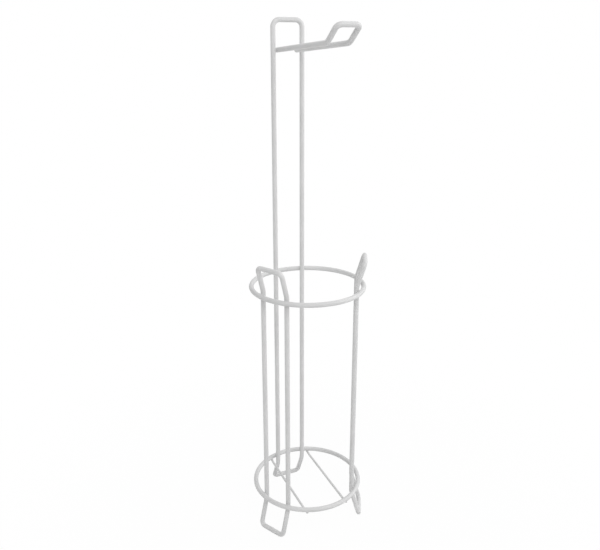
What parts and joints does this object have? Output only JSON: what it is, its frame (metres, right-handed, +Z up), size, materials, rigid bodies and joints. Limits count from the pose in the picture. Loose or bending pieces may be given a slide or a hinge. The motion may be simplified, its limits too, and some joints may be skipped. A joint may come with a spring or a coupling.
{
  "type": "toilet roll stand",
  "caption": "Free-standing toilet roll stand of welded bent wire: a tall rear post carries a forward roll arm over a round open cage for spare rolls.",
  "frame": {"origin": "on the floor, on the vertical axis shared by the two cage rings", "axes": "+Z up; +Y from the axis to the rear post, so the roll arm points along -Y; +X to the right seen from the front"},
  "size_m": [0.1442, 0.1768, 0.619],
  "materials": {
    "coated_wire": "satin pale grey-white powder coat over steel wire",
    "coated_weld": "the same coat, slightly thicker and rounder over the welds"
  },
  "bodies": {
    "root": {"rear_post": "coated_wire", "left_leg": "coated_wire", "right_leg": "coated_wire", "roll_arm": "coated_wire", "top_ring": "coated_wire", "base_ring": "coated_wire", "left_floor_wire": "coated_wire", "right_floor_wire": "coated_wire", "rear_post_butt_weld": "coated_weld", "left_leg_butt_weld": "coated_weld", "right_leg_butt_weld": "coated_weld", "top_ring_butt_weld": "coated_weld", "base_ring_butt_weld": "coated_weld", "rear_post_top_ring_welds": "coated_weld", "rear_post_base_ring_welds": "coated_weld", "left_leg_top_ring_welds": "coated_weld", "left_leg_base_ring_welds": "coated_weld", "right_leg_top_ring_welds": "coated_weld", "right_leg_base_ring_welds": "coated_weld", "roll_arm_welds": "coated_weld", "left_floor_wire_welds": "coated_weld", "right_floor_wire_welds": "coated_weld"}
  },
  "joints": []
}
